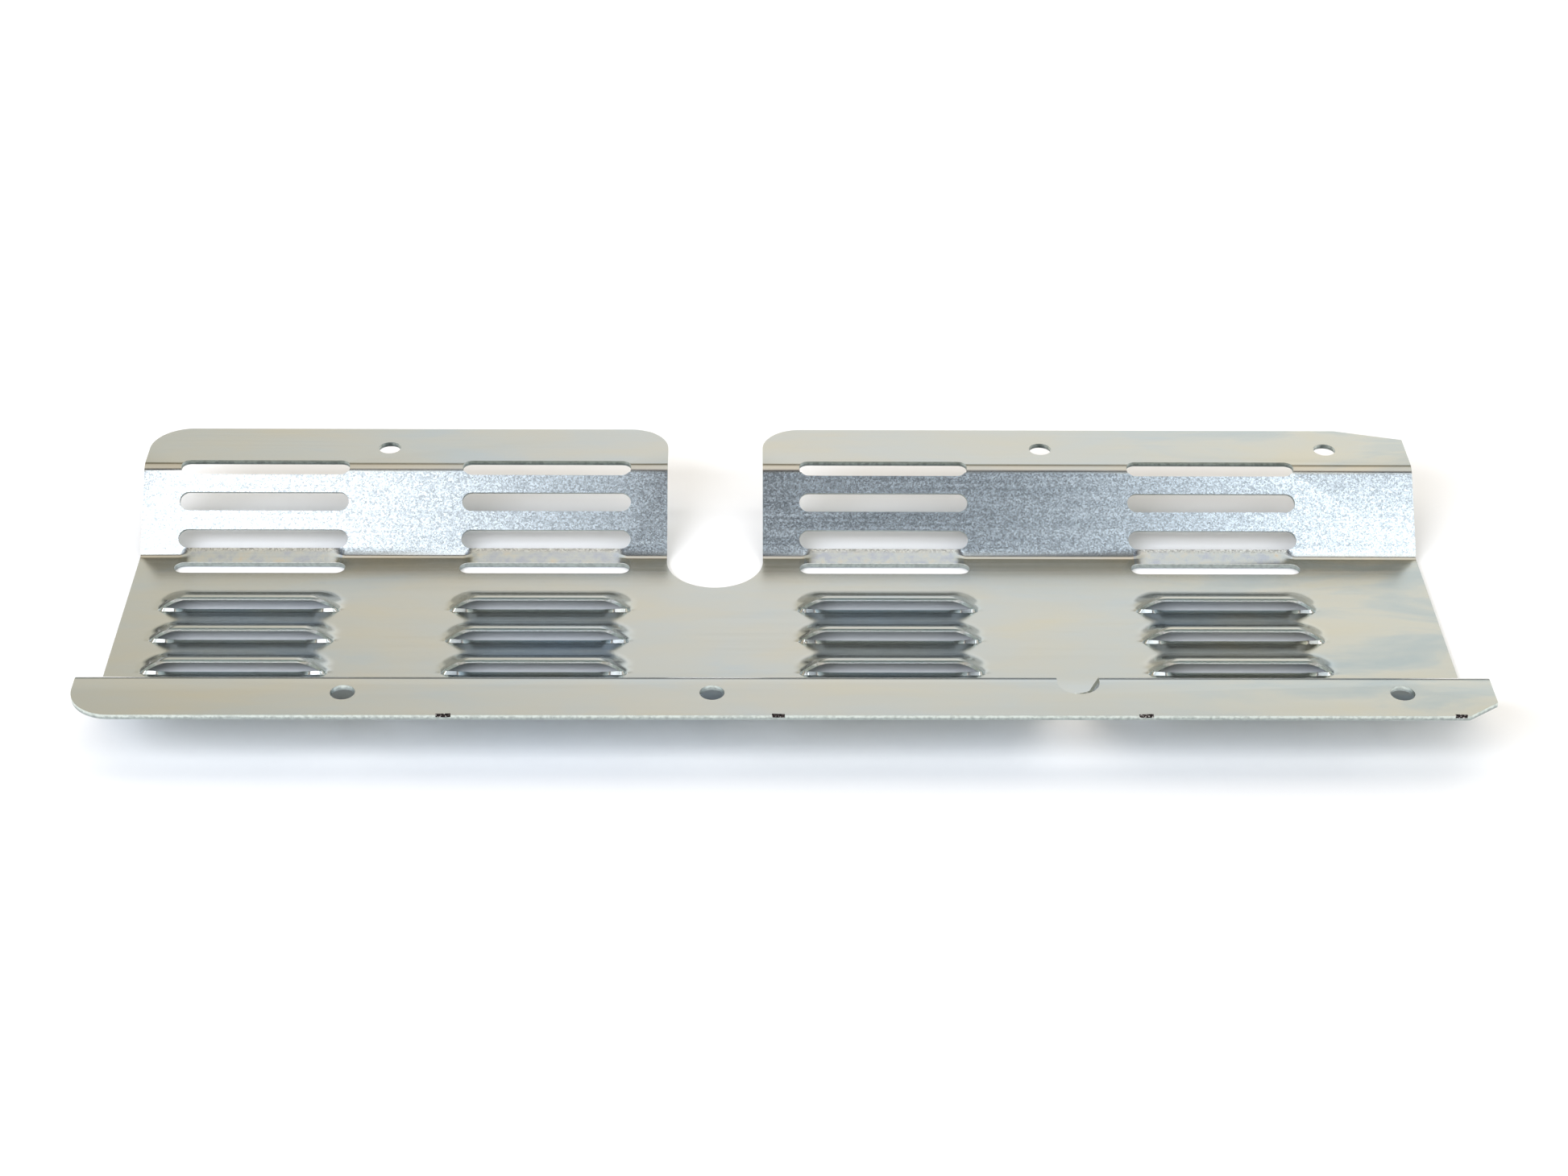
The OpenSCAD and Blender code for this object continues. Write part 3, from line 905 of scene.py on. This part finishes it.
# %% Room: screens in front, and a lighter right side
sideways = add_node(tree, "ShaderNodeMapRange", Value=apart.outputs["X"],
                    From_Min=-0.5, From_Max=0.5)
front = add_node(tree, "ShaderNodeValToRGB", {"stops": (
    (0.0, "#ffffff"), (0.37, "#ffffff"), (0.44, "#60686e"), (0.48, "#1c1e22"),
    (0.56, "#1e2226"), (0.64, "#40464c"), (0.70, "#f4f8fa"), (1.0, "#ffffff"))},
    Fac=sideways.outputs[0])
front_low = add_node(tree, "ShaderNodeMapRange", Value=over_the_top.outputs[0],
                     From_Min=0.26, From_Max=0.29)
front_high = add_node(tree, "ShaderNodeMapRange", Value=over_the_top.outputs[0],
                      From_Min=0.37, From_Max=0.345)
is_front = add_node(tree, "ShaderNodeMath", {"operation": "MULTIPLY"},
                    _0=front_low.outputs[0], _1=front_high.outputs[0])
brighter = add_node(tree, "ShaderNodeMix", {"data_type": "RGBA", "blend_type": "MULTIPLY"},
                    Factor=1.0, _6=front.outputs[0], _7=(SCREENS, SCREENS, SCREENS, 1))
# A window on the right makes that side of the room lighter and cooler
side_light = add_node(tree, "ShaderNodeValToRGB", {"stops": (
    (0.25, "#dad7ca"), (0.5, "#f8f8f6"), (0.75, "#f6fbfb"))}, Fac=sideways.outputs[0])
sided = add_node(tree, "ShaderNodeMix", {"data_type": "RGBA", "blend_type": "MULTIPLY"},
                 Factor=1.0, _6=ceiling.outputs[0], _7=side_light.outputs[0])
seen = add_node(tree, "ShaderNodeMix", {"data_type": "RGBA"}, Factor=is_front.outputs[0],
                _6=sided.outputs[2], _7=brighter.outputs[2])
print("the screens are", SCREENS, "times as bright as white")

# %% Room: what the camera sees
# The camera itself sees plain white beyond the table
path = add_node(tree, "ShaderNodeLightPath")
shown = add_node(tree, "ShaderNodeMix", {"data_type": "RGBA"},
                 Factor=path.outputs["Is Camera Ray"], _6=seen.outputs[2], _7=(1, 1, 1, 1))
background = tree.nodes["Background"]
background.inputs["Strength"].default_value = ROOM_BRIGHTNESS
tree.links.new(shown.outputs[2], background.inputs["Color"])
print("room:", len(tree.nodes), "nodes")

# %% [markdown]
# ## Lamps
# The room lights the metal, so the lamps are there for the table. Neither the camera nor the metal
# sees them, because their outlines would show in a satin surface. A wide panel over the back
# throws the soft shadow forward, and a cooler one at the front left lightens the table there.

# %% Two soft panels
def panel_light(name, place, size, watts, colour):
    """A soft light panel that faces the tray, and that neither metal nor camera sees."""
    data = bpy.data.lights.new(name, "AREA")
    data.shape, data.energy = "RECTANGLE", watts
    data.size, data.size_y = size
    data.color = linear(colour)[:3]
    lamp = bpy.data.objects.new(name, data)
    bpy.context.scene.collection.objects.link(lamp)
    lamp.location = place
    lamp.rotation_euler = (-Vector(place)).to_track_quat("-Z", "Y").to_euler()
    lamp.visible_camera, lamp.visible_glossy = False, False


panel_light("back panel", (0, 0.35, 1.35), (2.0, 1.4), 8, "#fdfdff")
panel_light("front panel", (-0.75, -0.9, 0.9), (1.0, 0.5), 12, "#e6eeff")

# %% [markdown]
# ## Camera
# The camera stands in front of the tray, a little left of its middle, and looks down by 33
# degrees. It could be aimed with a constraint, but it is rolled a little too, so its turn is
# built from the three directions that it looks along: forward, right and down.

# %% Camera
YAW, PITCH, ROLL = radians(1.06), radians(33), radians(-0.67)
LENS, SENSOR = 68.65, 36.0
CAMERA_PLACE = Vector((-13.37 * MM, REAR_FOOT - 791.37 * MM, THICK + 502.84 * MM))

forward = Vector((sin(YAW) * cos(PITCH), cos(YAW) * cos(PITCH), -sin(PITCH)))
level = Vector((cos(YAW), -sin(YAW), 0))
down = forward.cross(level)
right = level * cos(ROLL) + down * sin(ROLL)
below = -level * sin(ROLL) + down * cos(ROLL)
data = bpy.data.cameras.new("camera")
data.sensor_width, data.lens = SENSOR, LENS
data.clip_start, data.clip_end = 0.05, 20.0
camera = bpy.data.objects.new("camera", data)
bpy.context.scene.collection.objects.link(camera)
turn = Matrix((right, -below, -forward)).transposed().to_4x4()
camera.matrix_world = Matrix.Translation(CAMERA_PLACE) @ turn
bpy.context.scene.camera = camera
bpy.context.scene.view_settings.view_transform = "Standard"
print("camera at", [round(c, 3) for c in camera.matrix_world.translation])
